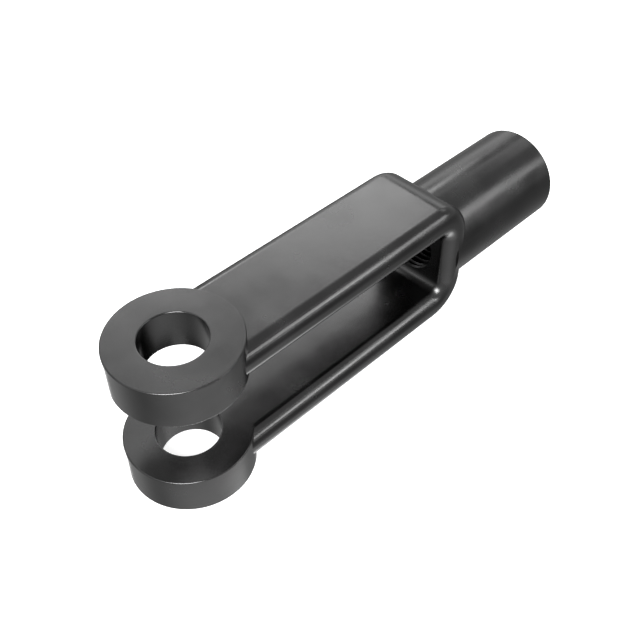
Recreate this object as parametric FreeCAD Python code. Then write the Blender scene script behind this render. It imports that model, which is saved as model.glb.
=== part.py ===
import FreeCAD, Part
import math
import os

from FreeCAD import Vector

# Clevis of a tension rod: a forged fork with two eyes and a tapped shank, in one piece.
# Millimetres. The origin is the centre of the pin hole, +X runs to the rod end, +Z is the pin's axis.

# Eyes: the two round ears that the pin passes through
eye_dia = 38.0
eye_thick = 13.0
pin_hole_dia = 19.0

# Slot between the eyes and between the arms, for the plate that the pin holds
slot_gap = 25.0
slot_length = 95.5
slot_corner_r = 3.5

# Arms and back wall: one strap of even thickness, bent round in a U
strap_thick = 10.0
strap_width = 32.0
strap_edge_r = 4.3

# Shank: round, with its face at this distance from the pin
shank_dia = 33.0
pin_to_shank_face = 152.0

# Bore of the shank, at the core diameter of its thread, with a countersink at the face
thread_core_dia = 17.3
countersink_dia = 21.0
bore_overrun = 1.0

# Small break on the rims of the eyes, the shank and the holes, so that no rim is sharp
edge_break = 0.4

x_axis = Vector(1, 0, 0)
z_axis = Vector(0, 0, 1)

slot_half = slot_gap / 2
arm_top = slot_half + strap_thick
eye_top = slot_half + eye_thick
back_face = slot_length + strap_thick
outer_corner_r = slot_corner_r + strap_thick
pin_r = pin_hole_dia / 2
core_r = thread_core_dia / 2


def corner(centre_x, centre_z, radius, start_deg):
    """Quarter arc about a centre in the XZ plane, from start_deg on, counted from +X towards +Z."""
    def at(angle_deg):
        angle = math.radians(angle_deg)
        return Vector(centre_x + radius * math.cos(angle), 0, centre_z + radius * math.sin(angle))
    return Part.Arc(at(start_deg), at(start_deg + 45), at(start_deg + 90)).toShape()


def line(x0, z0, x1, z1):
    return Part.makeLine(Vector(x0, 0, z0), Vector(x1, 0, z1))


def u_path(half_height, end_x, radius):
    """Half-open U in the XZ plane, from the lower arm at the pin, round the back, to the upper arm."""
    bend_x = end_x - radius
    bend_z = half_height - radius
    return [
        line(0, -half_height, bend_x, -half_height),
        corner(bend_x, -bend_z, radius, -90),
        line(end_x, -bend_z, end_x, bend_z),
        corner(bend_x, bend_z, radius, 0),
        line(bend_x, half_height, 0, half_height),
    ]


def make_strap():
    """The arms and the back wall, with every long edge rounded, inside the slot and outside."""
    outer = u_path(arm_top, back_face, outer_corner_r)
    inner = u_path(slot_half, slot_length, slot_corner_r)
    upper_end = line(0, arm_top, 0, slot_half)
    lower_end = line(0, -slot_half, 0, -arm_top)
    profile = Part.Face(Part.Wire(outer + [upper_end] + inner[::-1] + [lower_end]))
    profile.translate(Vector(0, -strap_width / 2, 0))
    strap = profile.extrude(Vector(0, strap_width, 0))
    return strap.makeFillet(strap_edge_r, long_edges(strap))


def long_edges(strap):
    """Edges that run along the U on either side of the strap: all of them but the four at the pin."""
    found = []
    for edge in strap.Edges:
        box = edge.BoundBox
        if box.YLength < 0.001 and box.XMax > 0.001:
            found.append(edge)
    return found


def circles(shape, radius, x_max):
    """Full circles of one radius whose centres lie no further along X than x_max."""
    found = []
    for edge in shape.Edges:
        if edge.Closed and abs(edge.Curve.Radius - radius) < 0.001 and edge.Curve.Center.x < x_max:
            found.append(edge)
    return found


def make_eyes():
    """Two discs whose inner faces are flush with the slot's, and which stand proud of the arms outside."""
    eye_r = eye_dia / 2
    upper = Part.makeCylinder(eye_r, eye_thick, Vector(0, 0, slot_half), z_axis)
    lower = Part.makeCylinder(eye_r, eye_thick, Vector(0, 0, -eye_top), z_axis)
    return [eye.makeFillet(edge_break, circles(eye, eye_r, 1)) for eye in (upper, lower)]


def make_shank():
    """Round shank from half way into the back wall, with its rim rounded at the face."""
    root = slot_length + strap_thick / 2
    shank = Part.makeCylinder(shank_dia / 2, pin_to_shank_face - root, Vector(root, 0, 0), x_axis)
    rims = circles(shank, shank_dia / 2, pin_to_shank_face + 1)
    face_rim = [rim for rim in rims if rim.Curve.Center.x > root + 1]
    return shank.makeFillet(edge_break, face_rim)


def make_pin_hole():
    return Part.makeCylinder(pin_r, 2 * eye_top, Vector(0, 0, -eye_top), z_axis)


def make_bore():
    """Straight bore from the slot to the shank's face, and the countersink there."""
    start = slot_length - bore_overrun
    core = Part.makeCylinder(core_r, pin_to_shank_face + bore_overrun - start, Vector(start, 0, 0), x_axis)
    mouth_r = countersink_dia / 2
    depth = mouth_r - core_r
    sink_start = Vector(pin_to_shank_face - depth, 0, 0)
    sink = Part.makeCone(core_r, mouth_r + bore_overrun, depth + bore_overrun, sink_start, x_axis)
    return [core, sink]


def make_clevis():
    """Strap, eyes and shank in one, then the holes, then a chamfer on their mouths."""
    body = make_strap().fuse(make_eyes() + [make_shank()])
    body = body.cut([make_pin_hole()] + make_bore())
    body = body.removeSplitter().Solids[0]
    mouths = circles(body, pin_r, 1) + circles(body, core_r, slot_length + 1)
    return body.makeChamfer(edge_break, mouths).Solids[0]


def main():
    os.makedirs("parts", exist_ok=True)
    clevis = make_clevis()
    clevis.exportStep("parts/clevis.step")
    print("clevis: %.1f cm3, valid %s" % (clevis.Volume / 1000, clevis.isValid()))


main()
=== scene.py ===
import math

import bpy
import numpy as np
from mathutils import Euler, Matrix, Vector
from mathutils.kdtree import KDTree


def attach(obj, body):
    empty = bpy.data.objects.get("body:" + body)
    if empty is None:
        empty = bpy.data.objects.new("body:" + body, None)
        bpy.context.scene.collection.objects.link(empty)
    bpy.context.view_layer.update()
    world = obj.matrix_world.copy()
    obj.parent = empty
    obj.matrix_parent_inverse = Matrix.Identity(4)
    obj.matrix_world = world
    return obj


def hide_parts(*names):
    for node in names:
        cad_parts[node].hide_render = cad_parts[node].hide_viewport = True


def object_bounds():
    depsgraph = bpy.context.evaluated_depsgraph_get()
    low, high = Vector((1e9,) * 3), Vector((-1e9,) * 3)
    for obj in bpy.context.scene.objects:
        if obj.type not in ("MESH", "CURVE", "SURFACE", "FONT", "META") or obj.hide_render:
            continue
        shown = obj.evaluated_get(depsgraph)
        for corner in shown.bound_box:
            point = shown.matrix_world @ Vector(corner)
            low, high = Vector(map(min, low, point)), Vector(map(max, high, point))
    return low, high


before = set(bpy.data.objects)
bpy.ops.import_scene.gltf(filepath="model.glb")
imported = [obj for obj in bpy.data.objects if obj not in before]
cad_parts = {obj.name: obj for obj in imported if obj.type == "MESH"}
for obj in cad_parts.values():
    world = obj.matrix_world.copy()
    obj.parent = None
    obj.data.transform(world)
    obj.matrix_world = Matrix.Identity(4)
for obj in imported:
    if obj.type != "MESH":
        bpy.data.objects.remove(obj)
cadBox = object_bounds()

scene = bpy.context.scene
mm = 0.001
print("frame loaded")


# Small helpers: colours, shader nodes and meshes

def srgb(hexColour):
    # sRGB hex to linear RGBA: c / 12.92 below the knee, ((c + 0.055) / 1.055) ** 2.4 above it
    channels = [int(hexColour[i:i + 2], 16) / 255 for i in (1, 3, 5)]
    return [c / 12.92 if c <= 0.04045 else ((c + 0.055) / 1.055) ** 2.4 for c in channels] + [1.0]


def addNode(tree, kind, settings=None, links=None, **values):
    # settings are the node's own options, values its unlinked sockets, links its fed sockets
    node = tree.nodes.new(kind)
    for name, value in (settings or {}).items():
        setattr(node, name, value)
    for name, value in values.items():
        node.inputs[name.replace("_", " ")].default_value = value
    for name, source in (links or {}).items():
        tree.links.new(source, node.inputs[name])
    return node


def mapRange(tree, source, low, high, lowValue, highValue, curve="LINEAR"):
    # lowValue + (highValue - lowValue) * (source - low) / (high - low), held between the two values
    node = addNode(tree, "ShaderNodeMapRange", {"interpolation_type": curve}, {"Value": source},
                   From_Min=low, From_Max=high, To_Min=lowValue, To_Max=highValue)
    return node.outputs[0]


def surfacePiece(name, points, quads, material):
    # corners that fall together within a tenth of a micrometre become one, and triangles left without area go
    corners, place = np.unique(np.round(points.reshape(-1, 3), 4), axis=0, return_inverse=True)
    place = place.reshape(-1)
    triangles = place[np.concatenate([quads[:, [0, 1, 2]], quads[:, [0, 2, 3]]])]
    a, b, c = triangles.T
    triangles = triangles[(a != b) & (b != c) & (c != a)]
    mesh = bpy.data.meshes.new(name)
    mesh.from_pydata((corners * mm).tolist(), [], triangles.tolist())
    mesh.materials.append(material)
    piece = bpy.data.objects.new(name, mesh)
    scene.collection.objects.link(piece)
    return piece


def gridQuads(rows, columns, shift=0):
    # corner number = row * columns + column, and each quad joins (row, column), (row, column + 1),
    # (row + 1, column + 1) and (row + 1, column); the last column meets the first, shift rows further on
    row, column = np.meshgrid(np.arange(rows - 1), np.arange(columns), indexing="ij")
    over = np.where(column == columns - 1, shift, 0)
    beside = (column + 1) % columns
    low = row * columns
    farLow = np.minimum(row + over, rows - 1) * columns
    farHigh = np.minimum(row + over + 1, rows - 1) * columns
    quads = [low + column, farLow + beside, farHigh + beside, low + columns + column]
    return np.stack(quads, -1).reshape(-1, 4)


def lathe(name, profile, axis, material, segments):
    # each profile point (along, radius) goes round the axis: along, radius * cos(turn), radius * sin(turn)
    along, radius = np.array(profile).T[:, :, None]
    turn = np.linspace(0, 2 * np.pi, segments, endpoint=False)[None, :]
    level = along + 0 * turn
    first, second = radius * np.cos(turn), radius * np.sin(turn)
    points = {"x": [level, first, second], "z": [first, second, level]}[axis]
    return surfacePiece(name, np.stack(points, -1), gridQuads(len(profile), segments), material)


# Steel: forged, then blackened and oiled, so it is a dark neutral grey with a satin sheen

steelLook = {
    "colour": "#444444",        # black oxide on carbon steel, as metal seen straight on
    "paleColour": "#4a4a4a",    # where the oxide is thinner
    "boreShadeColour": "#1a1a1a",  # painted shade: a far darker colour for the tapped bore, standing in for the shade inside it
    "wornColour": "#626262",    # rubbed edges
    "roughness": 0.24,
    "roughnessSpread": 0.05,
    "patch": 14.0,              # mm, patches that the oxide bath leaves
    "forgeWave": 8.0,           # mm, hollows that the forging die leaves
    "forgeDepth": 0.025,        # mm
    "grain": 1.2,               # mm, the blast pits are 0.1 mm, drawn coarser so that they show
    "grainDepth": 0.007,        # mm
    "edgeReach": 0.5,           # mm, how far from an edge the oxide is rubbed
    "edgeStart": 0.99,          # cosine of the lean at which the rubbing starts
    "edgeFull": 0.88,           # and at which it is full
    "rubbed": 0.8,              # share of the oxide that is gone there
    "toolPitch": 0.8,           # mm, the cutter's feed is 0.2 mm, drawn coarser so that it shows
    "toolDepth": 0.004,         # mm
}


def blackOxideSteel(name, colour, paleColour, toolMarks=None):
    # colour from patches and rubbed edges, gloss from patches, bump from hollows with grain or tool marks
    look = steelLook
    material = bpy.data.materials.new(name)
    material.use_nodes = True
    tree = material.node_tree
    tree.nodes.clear()
    place = addNode(tree, "ShaderNodeTexCoord").outputs["Object"]

    def noise(size, detail):
        # values lie mostly between 0.3 and 0.7
        scale = 1 / (size * mm)
        node = addNode(tree, "ShaderNodeTexNoise", {}, {"Vector": place}, Scale=scale, Detail=detail)
        return node.outputs[0]

    def blend(factor, first, second):
        # colours are hex, or another node's output
        node = addNode(tree, "ShaderNodeMixRGB", {}, {"Fac": factor}, Color2=srgb(second))
        if isinstance(first, str):
            node.inputs["Color1"].default_value = srgb(first)
        else:
            tree.links.new(first, node.inputs["Color1"])
        return node.outputs[0]

    patches = noise(look["patch"], 5.0)
    grain = noise(look["grain"], 3.0)
    hollows = noise(look["forgeWave"], 2.0)

    # an edge is where the normal, averaged over a small reach, leans away from the face's own
    averaged = addNode(tree, "ShaderNodeBevel", {"samples": 6}, Radius=look["edgeReach"] * mm).outputs[0]
    ownNormal = addNode(tree, "ShaderNodeNewGeometry").outputs["Normal"]
    lean = addNode(tree, "ShaderNodeVectorMath", {"operation": "DOT_PRODUCT"}, {0: averaged, 1: ownNormal})
    nearEdge = mapRange(tree, lean.outputs["Value"], look["edgeStart"], look["edgeFull"], 0.0, look["rubbed"])
    broken = mapRange(tree, grain, 0.35, 0.6, 0.3, 1.0)
    rubbed = addNode(tree, "ShaderNodeMath", {"operation": "MULTIPLY"}, {0: nearEdge, 1: broken}).outputs[0]

    oxide = blend(mapRange(tree, patches, 0.35, 0.65, 0.0, 1.0), colour, paleColour)
    finish = blend(rubbed, oxide, look["wornColour"])
    middle, spread = look["roughness"], look["roughnessSpread"]
    roughness = mapRange(tree, patches, 0.3, 0.7, middle - spread, middle + spread)

    if toolMarks:
        # a wave texture repeats every pi / (10 * scale)
        marks = addNode(tree, "ShaderNodeTexWave", toolMarks, {"Vector": place},
                        Scale=math.pi / (10 * look["toolPitch"] * mm), Distortion=0.4, Detail=1.0)
        fine, fineDepth = marks.outputs[1], look["toolDepth"]
    else:
        fine, fineDepth = grain, look["grainDepth"]
    fineBump = addNode(tree, "ShaderNodeBump", {}, {"Height": fine}, Distance=fineDepth * mm)
    bump = addNode(tree, "ShaderNodeBump", {}, {"Height": hollows, "Normal": fineBump.outputs[0]},
                   Distance=look["forgeDepth"] * mm)
    shader = addNode(tree, "ShaderNodeBsdfPrincipled", {},
                     {"Base Color": finish, "Roughness": roughness, "Normal": bump.outputs[0]}, Metallic=1.0)
    addNode(tree, "ShaderNodeOutputMaterial", {}, {"Surface": shader.outputs[0]})
    return material


outside = (steelLook["colour"], steelLook["paleColour"])
# painted shade: both of the bore's colours are the dark one, in place of the shade inside it
paintedBoreShade = (steelLook["boreShadeColour"], steelLook["boreShadeColour"])
alongPin, alongRod = {"bands_direction": "Z"}, {"bands_direction": "X"}
roundRod = {"wave_type": "RINGS", "rings_direction": "X"}
# forged and blasted skin: even, with a faint grain
forgedSteel = blackOxideSteel("blackOxideForgedSteel", *outside)
# drilled wall of the pin hole: fine rings round the pin
drilledSteel = blackOxideSteel("blackOxideDrilledSteel", *outside, toolMarks=alongPin)
# tapped bore: the same rings round the rod, with painted shade: far darker than the outside, in place of the
# shade inside the bore
tappedSteel = blackOxideSteel("blackOxideTappedSteel", *paintedBoreShade, toolMarks=alongRod)
# turned face of the shank: fine circles about the bore
facedSteel = blackOxideSteel("blackOxideFacedSteel", *outside, toolMarks=roundRod)
print("steel ready")


# Fork: arms and back wall are one strap of even thickness, carried round a U

fork = {"slotHalf": 12.5, "slotEnd": 95.5, "innerBend": 3.5, "thick": 10.0, "width": 32.0, "edgeRound": 4.3,
        "bendSteps": 20, "edgeSteps": 10}


def uPath():
    # middle line of the strap, with its outward normals: lower arm, quarter turn, back wall, quarter turn,
    # upper arm; on a turn, point = centre + bend * (cos, sin) and normal = (cos, sin)
    facts = fork
    bend = facts["innerBend"] + facts["thick"] / 2
    half = facts["slotHalf"] + facts["thick"] / 2
    end = facts["slotEnd"] + facts["thick"] / 2
    turn = np.radians(np.linspace(-90, 0, facts["bendSteps"] + 1))
    lowTurn = np.stack([end - bend + bend * np.cos(turn), bend - half + bend * np.sin(turn)], -1)
    lowNormal = np.stack([np.cos(turn), np.sin(turn)], -1)
    highTurn, highNormal = lowTurn[::-1] * [1, -1], lowNormal[::-1] * [1, -1]
    path = np.concatenate([[[0, -half]], lowTurn, highTurn, [[0, half]]])
    normals = np.concatenate([[[0, -1]], lowNormal, highNormal, [[0, 1]]])
    return path, normals


def strapSection():
    # rounded rectangle, in each corner: across = width / 2 - round + round * cos and
    # out = thick / 2 - round + round * sin
    facts = fork
    acrossMiddle = facts["width"] / 2 - facts["edgeRound"]
    outMiddle = facts["thick"] / 2 - facts["edgeRound"]
    corner = np.linspace(0, np.pi / 2, facts["edgeSteps"] + 1)
    turns = np.concatenate([corner + quarter * np.pi / 2 for quarter in range(4)])
    acrossSign = np.repeat([1, -1, -1, 1], len(corner))
    outSign = np.repeat([1, 1, -1, -1], len(corner))
    across = acrossSign * acrossMiddle + facts["edgeRound"] * np.cos(turns)
    out = outSign * outMiddle + facts["edgeRound"] * np.sin(turns)
    return across, out


def makeStrap():
    # point = path + out * normal in the XZ plane, and across along Y; both ends shrink to a point
    path, normals = uPath()
    across, out = strapSection()
    x = path[:, :1] + normals[:, :1] * out[None, :]
    z = path[:, 1:] + normals[:, 1:] * out[None, :]
    y = across[None, :] + 0 * x
    points = np.stack([x, y, z], -1)
    caps = points[[0, -1]].mean(1, keepdims=True) + 0 * points[[0, -1]]
    points = np.concatenate([caps[:1], points, caps[1:]])
    return surfacePiece("strap", points, gridQuads(*points.shape[:2]), forgedSteel)


# Eyes and shank: turned shapes with a small break on each rim

eye = {"radius": 19.0, "inner": 12.5, "outer": 25.5, "edgeBreak": 0.4, "segments": 192}
shank = {"radius": 16.5, "root": 100.5, "face": 152.0, "edgeBreak": 0.4, "segments": 192}


def rim(along, radius, towards, size, steps=4):
    # quarter round between a face and a wall: along - towards * size * (1 - sin), radius - size * (1 - cos)
    turn = np.linspace(np.pi / 2, 0, steps + 1) if towards < 0 else np.linspace(0, np.pi / 2, steps + 1)
    return [(along - towards * size * (1 - math.sin(t)), radius - size * (1 - math.cos(t))) for t in turn]


def makeEye(name, side):
    # disc turned about the pin's axis, with a quarter round on each rim; the lower eye mirrors the upper
    facts = eye
    low = rim(facts["inner"], facts["radius"], -1, facts["edgeBreak"])
    high = rim(facts["outer"], facts["radius"], 1, facts["edgeBreak"])
    profile = [(facts["inner"], 0)] + low + high + [(facts["outer"], 0)]
    if side < 0:
        profile = [(-along, radius) for along, radius in profile[::-1]]
    return lathe(name, profile, "z", forgedSteel, facts["segments"])


def makeShank():
    # cylinder about the rod's axis, from the middle of the back wall to its face, with a quarter round there
    facts = shank
    profile = [(facts["root"], 0), (facts["root"], facts["radius"])]
    profile += rim(facts["face"], facts["radius"], 1, facts["edgeBreak"]) + [(facts["face"], 0)]
    return lathe("shank", profile, "x", forgedSteel, facts["segments"])


# Pin hole and tapped bore: solids that are taken out of the fork

pinHole = {"radius": 9.5, "edgeBreak": 0.4, "overrun": 1.0, "segments": 160}
# coarse 60 degree thread for a 20 mm rod; the overruns carry the cutter past the metal
bore = {"minor": 8.65, "major": 10.0, "pitch": 2.5, "flank": 30.0, "slotBreak": 0.4, "sinkRadius": 10.5,
        "slotOverrun": 1.5, "faceOverrun": 1.0, "around": 128, "flankSteps": 2}


def makePinCutter():
    # cylinder that widens in a quarter round where it meets each face of the eyes, by the rim's formula with
    # the size taken as negative
    size, radius, overrun = pinHole["edgeBreak"], pinHole["radius"], pinHole["overrun"]
    inner, outer = eye["inner"], eye["outer"]
    mouths = rim(inner, radius, 1, -size)[::-1] + rim(outer, radius, -1, -size)[::-1]
    wide = radius + size
    upper = [(inner - overrun, wide)] + mouths + [(outer + overrun, wide), (outer + overrun, 0)]
    lower = [(-along, r) for along, r in upper[::-1]]
    return lathe("pinCutter", lower + upper, "z", drilledSteel, pinHole["segments"])


def threadRadius(x, turn):
    # major - (d - 1/16) * pitch / tan(flank), d being the distance from the nearest groove's middle in
    # pitches, held between minor and major, and grown from the minor radius over the first pitch at the slot
    facts = bore
    phase = x / facts["pitch"] - turn / (2 * np.pi)
    d = np.abs(phase - np.round(phase))
    slope = facts["pitch"] / math.tan(math.radians(facts["flank"]))
    radius = np.clip(facts["major"] - (d - 1 / 16) * slope, facts["minor"], facts["major"])
    grown = np.clip((x - fork["slotEnd"] - facts["slotBreak"]) / facts["pitch"], 0, 1)
    radius = facts["minor"] + (radius - facts["minor"]) * grown * grown * (3 - 2 * grown)
    return np.maximum(radius, facts["sinkRadius"] - (shank["face"] - x))


def makeBoreCutter():
    # rows follow the helix, x = station + pitch * turn / 360 degrees, so crests and roots stay sharp lines,
    # and are held between the two mouths, beyond which plain rings close the solid
    facts = bore
    pitch, overrun = facts["pitch"], facts["slotOverrun"]
    start, end = fork["slotEnd"] + facts["slotBreak"], shank["face"] + facts["faceOverrun"]
    # where the stations stand on one turn of the thread, in pitches from a groove's middle
    crest = np.linspace(0.375, 0.625, 2)
    rise = np.linspace(0.625, 0.9375, facts["flankSteps"] + 1)[1:]
    root = np.array([1.0625])
    fall = np.linspace(1.0625, 1.375, facts["flankSteps"] + 1)[1:-1]
    stops = np.concatenate([crest, rise, root, fall])
    first, last = math.floor(start / pitch) - 3, math.ceil(end / pitch) + 2
    stations = (np.arange(first, last)[:, None] + stops[None, :]).reshape(-1, 1) * pitch
    turn = np.linspace(0, 2 * np.pi, facts["around"], endpoint=False)[None, :]
    x = np.clip(stations + pitch * turn / (2 * np.pi), start, end)
    radius = threadRadius(x, turn)
    level = 0 * turn
    x = np.concatenate([start - overrun + level, start - overrun + level, x, end + level])
    radius = np.concatenate([level, facts["minor"] + overrun + level, radius, level])
    points = np.stack([x, radius * np.cos(turn), radius * np.sin(turn)], -1)
    helix, around = len(stations), facts["around"]
    quads = np.concatenate([
        gridQuads(3, around),                                       # the slot's mouth
        gridQuads(helix, around, shift=len(stops)) + 2 * around,    # the thread
        gridQuads(2, around) + (helix + 1) * around,                # the end beyond the shank's face
    ])
    return surfacePiece("boreCutter", points, quads, tappedSteel)


def joinSteel(body, operation, others):
    # one boolean after another, and each cut surface keeps the cutter's material
    for other in others:
        step = body.modifiers.new(other.name, "BOOLEAN")
        step.operation = operation
        step.solver = "EXACT"
        step.material_mode = "TRANSFER"
        step.object = other


def weld(mesh, reach):
    # corners within reach of each other become the first of them, and faces left with two corners go
    tree = KDTree(len(mesh.vertices))
    for vertex in mesh.vertices:
        tree.insert(vertex.co, vertex.index)
    tree.balance()
    keeper = list(range(len(mesh.vertices)))
    for vertex in mesh.vertices:
        if keeper[vertex.index] == vertex.index:
            for _, other, _ in tree.find_range(vertex.co, reach):
                if keeper[other] == other and other > vertex.index:
                    keeper[other] = vertex.index
    kept = sorted(set(keeper))
    place = {index: order for order, index in enumerate(kept)}
    faces, finishes = [], []
    for polygon in mesh.polygons:
        ring = [place[keeper[index]] for index in polygon.vertices]
        ring = [corner for corner, before in zip(ring, ring[-1:] + ring) if corner != before]
        if len(ring) > 2:
            faces.append(ring)
            finishes.append(polygon.material_index)
    welded = bpy.data.meshes.new("clevisSteel")
    welded.from_pydata([mesh.vertices[index].co for index in kept], [], faces)
    for material in mesh.materials:
        welded.materials.append(material)
    welded.polygons.foreach_set("material_index", finishes)
    return welded


# edges that turn by more than sharpAngle degrees stay crisp; faceReach in mm finds the shank's face, and
# corners closer than weldReach in mm become one
finishing = {"sharpAngle": 28.0, "flatWeight": 100, "faceReach": 0.01, "weldReach": 0.0005}


def makeClevis():
    # strap, eyes and shank become one solid, then the pin hole and the bore are taken out of it
    body = makeStrap()
    body.name = "clevisSteel"
    added = [makeEye("upperEye", 1), makeEye("lowerEye", -1), makeShank()]
    taken = [makePinCutter(), makeBoreCutter()]
    joinSteel(body, "UNION", added)
    joinSteel(body, "DIFFERENCE", taken)
    ready = body.evaluated_get(bpy.context.evaluated_depsgraph_get())
    # the cuts leave some corners almost on top of each other
    solid = weld(bpy.data.meshes.new_from_object(ready), finishing["weldReach"] * mm)
    body.modifiers.clear()
    body.data = solid
    for helper in added + taken:
        bpy.data.objects.remove(helper)
    # the turned face of the shank gets its own finish
    centres = np.empty(len(solid.polygons) * 3)
    solid.polygons.foreach_get("center", centres)
    finishes = np.empty(len(solid.polygons), dtype=np.int32)
    solid.polygons.foreach_get("material_index", finishes)
    onFace = centres.reshape(-1, 3)[:, 0] > (shank["face"] - finishing["faceReach"]) * mm
    finishes[onFace] = len(solid.materials)
    solid.materials.append(facedSteel)
    solid.polygons.foreach_set("material_index", finishes)
    solid.polygons.foreach_set("use_smooth", np.ones(len(solid.polygons), dtype=bool))
    solid.set_sharp_from_angle(angle=math.radians(finishing["sharpAngle"]))
    flat = body.modifiers.new("evenNormals", "WEIGHTED_NORMAL")
    flat.keep_sharp = True
    flat.weight = finishing["flatWeight"]
    return body


clevis = makeClevis()
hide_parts("clevis")
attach(clevis, "root")
print("clevis made:", len(clevis.data.vertices), "corners,", len(clevis.data.polygons), "faces")


# Studio: pale floor, grey surroundings, soft panels; sizes in mm, angles in degrees

studio = {"floorSize": 4000, "floorColour": "#d4d4d4", "floorGlow": 0.85, "washRadiance": 0.6,
          "washSpan": 60, "upperLight": 0.62, "lowerLight": 0.33, "horizonEase": 0.05, "panelDistance": 900}
# seen from the part: azimuth and elevation of each panel's middle, its width and height, all in degrees
panels = {
    "keyPanel": {"azimuth": -62, "elevation": 20, "width": 18, "height": 10, "radiance": 9.0},
    "keyHighPanel": {"azimuth": -44, "elevation": 28, "width": 22, "height": 13, "radiance": 3.9},
    "keyLowPanel": {"azimuth": -66, "elevation": 3, "width": 16, "height": 9, "radiance": 1.1},
    "backPanel": {"azimuth": 49, "elevation": 36.5, "width": 26, "height": 11, "radiance": 4.8},
    "backHighPanel": {"azimuth": 50, "elevation": 47, "width": 46, "height": 10, "radiance": 0.95},
    "backRightPanel": {"azimuth": 72, "elevation": 36, "width": 16, "height": 10, "radiance": 4.2},
    "backLeftPanel": {"azimuth": 8, "elevation": 36, "width": 18, "height": 11, "radiance": 1.3},
    "backLowPanel": {"azimuth": 56, "elevation": 20, "width": 18, "height": 20, "radiance": 0.9},
    "backMidPanel": {"azimuth": 34, "elevation": 18, "width": 26, "height": 14, "radiance": 1.1},
    "overheadPanel": {"azimuth": 90, "elevation": 62, "width": 34, "height": 20, "radiance": 1.1},
    "frontPanel": {"azimuth": -143, "elevation": 37, "width": 32, "height": 28, "radiance": 19.0},
    "leftPanel": {"azimuth": 168, "elevation": 28, "width": 40, "height": 24, "radiance": 1.2},
    "farSidePanel": {"azimuth": 108, "elevation": 18, "width": 36, "height": 22, "radiance": 1.6},
}
# light that comes up from below, as soft lobes: direction, how wide in degrees, and level
glows = [
    {"azimuth": -38, "elevation": -72, "reach": 20, "level": 2.5},
    {"azimuth": 60, "elevation": -45, "reach": 22, "level": 7.0},
    {"azimuth": -90, "elevation": -72, "reach": 45, "level": 0.8},
    {"azimuth": -130, "elevation": -34, "reach": 62, "level": 0.4},
    {"azimuth": 130, "elevation": -25, "reach": 45, "level": 0.4},
]


def makeFloor():
    # square at the height of the part's lowest point, with a glow of its own that keeps it pale
    half = studio["floorSize"] / 2 * mm
    low = cadBox[0].z
    corners = [(-half, -half, low), (half, -half, low), (half, half, low), (-half, half, low)]
    mesh = bpy.data.meshes.new("floor")
    mesh.from_pydata(corners, [], [(0, 1, 2, 3)])
    floor = bpy.data.objects.new("floor", mesh)
    scene.collection.objects.link(floor)
    material = bpy.data.materials.new("paintedFloor")
    material.use_nodes = True
    tree = material.node_tree
    tree.nodes.clear()
    shader = addNode(tree, "ShaderNodeBsdfPrincipled", Base_Color=srgb(studio["floorColour"]), Roughness=0.9,
                     Emission_Color=(1, 1, 1, 1), Emission_Strength=studio["floorGlow"])
    addNode(tree, "ShaderNodeOutputMaterial", {}, {"Surface": shader.outputs[0]})
    mesh.materials.append(material)
    floor.visible_glossy = False


def towards(azimuth, elevation):
    # cos(azimuth) * cos(elevation), sin(azimuth) * cos(elevation), sin(elevation)
    az, el = math.radians(azimuth), math.radians(elevation)
    return Vector((math.cos(az) * math.cos(el), math.sin(az) * math.cos(el), math.sin(el)))


def makePanel(name, azimuth, elevation, width, height, radiance):
    # power = pi x area x radiance, for a panel that faces the middle of the part
    away = towards(azimuth, elevation)
    distance = studio["panelDistance"] * mm
    data = bpy.data.lights.new(name, "AREA")
    data.shape = "RECTANGLE"
    data.size = 2 * distance * math.tan(math.radians(width) / 2)
    data.size_y = 2 * distance * math.tan(math.radians(height) / 2)
    data.energy = math.pi * data.size * data.size_y * radiance
    light = bpy.data.objects.new(name, data)
    scene.collection.objects.link(light)
    light.location = (cadBox[0] + cadBox[1]) / 2 + away * distance
    light.rotation_euler = away.to_track_quat("Z", "Y").to_euler()
    return light


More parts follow.
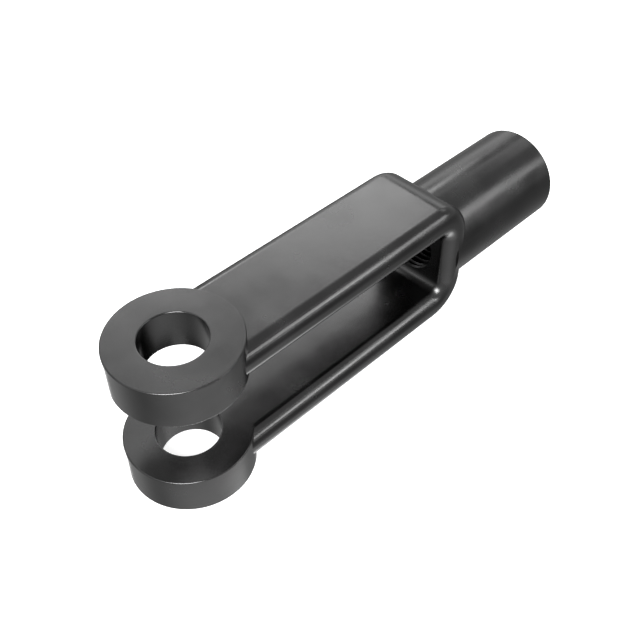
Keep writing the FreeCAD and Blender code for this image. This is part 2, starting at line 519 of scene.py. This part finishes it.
def makeSurroundings():
    # level = lowerLight below the horizon and upperLight above it, plus each glow's level, which falls from
    # its middle to nothing at its reach
    world = bpy.data.worlds.new("studioWorld")
    scene.world = world
    world.use_nodes = True
    tree = world.node_tree
    tree.nodes.clear()
    direction = addNode(tree, "ShaderNodeTexCoord").outputs["Generated"]
    height = addNode(tree, "ShaderNodeSeparateXYZ", {}, {0: direction}).outputs["Z"]
    ease = studio["horizonEase"]
    level = mapRange(tree, height, -ease, ease, studio["lowerLight"], studio["upperLight"])
    for glow in glows:
        nearness = addNode(tree, "ShaderNodeVectorMath", {"operation": "DOT_PRODUCT"}, {0: direction})
        nearness.inputs[1].default_value = towards(glow["azimuth"], glow["elevation"])
        outer = math.cos(math.radians(glow["reach"]))
        lobe = mapRange(tree, nearness.outputs["Value"], outer, 1.0, 0.0, glow["level"], curve="SMOOTHSTEP")
        level = addNode(tree, "ShaderNodeMath", {"operation": "ADD"}, {0: level, 1: lobe}).outputs[0]
    # the surroundings themselves look as pale as the floor, so that no horizon shows behind the part
    seen = addNode(tree, "ShaderNodeLightPath").outputs["Is Camera Ray"]
    level = addNode(tree, "ShaderNodeMix", {}, {"Factor": seen, "A": level}, B=1.0).outputs[0]
    background = addNode(tree, "ShaderNodeBackground", {}, {"Strength": level}, Color=(1, 1, 1, 1))
    addNode(tree, "ShaderNodeOutputWorld", {}, {"Surface": background.outputs[0]})


makeFloor()
makeSurroundings()
for panelName, panelFacts in panels.items():
    makePanel(panelName, **panelFacts)
# a wide light overhead that brightens the floor and shows in no reflection
washLight = makePanel("washPanel", 0, 90, studio["washSpan"], studio["washSpan"], studio["washRadiance"])
washLight.visible_glossy = False
scene.view_settings.view_transform = "Standard"
print("studio ready")


# Camera: place in mm, azimuth and downward tilt in degrees, fitted to the photograph's outline

camera = {"place": (-82.23, -136.49, 188.52), "azimuth": 45.197, "elevation": 45.322, "lens": 49.107,
          "sensor": 36, "clipStart": 10}


def makeCamera():
    data = bpy.data.cameras.new("camera")
    data.lens = camera["lens"]
    data.sensor_width = camera["sensor"]
    data.clip_start = camera["clipStart"] * mm
    viewer = bpy.data.objects.new("camera", data)
    scene.collection.objects.link(viewer)
    viewer.location = Vector(camera["place"]) * mm
    tilt, turn = math.radians(90 - camera["elevation"]), math.radians(camera["azimuth"] - 90)
    viewer.rotation_euler = Euler((tilt, 0, turn))
    scene.camera = viewer


makeCamera()
print("camera set")
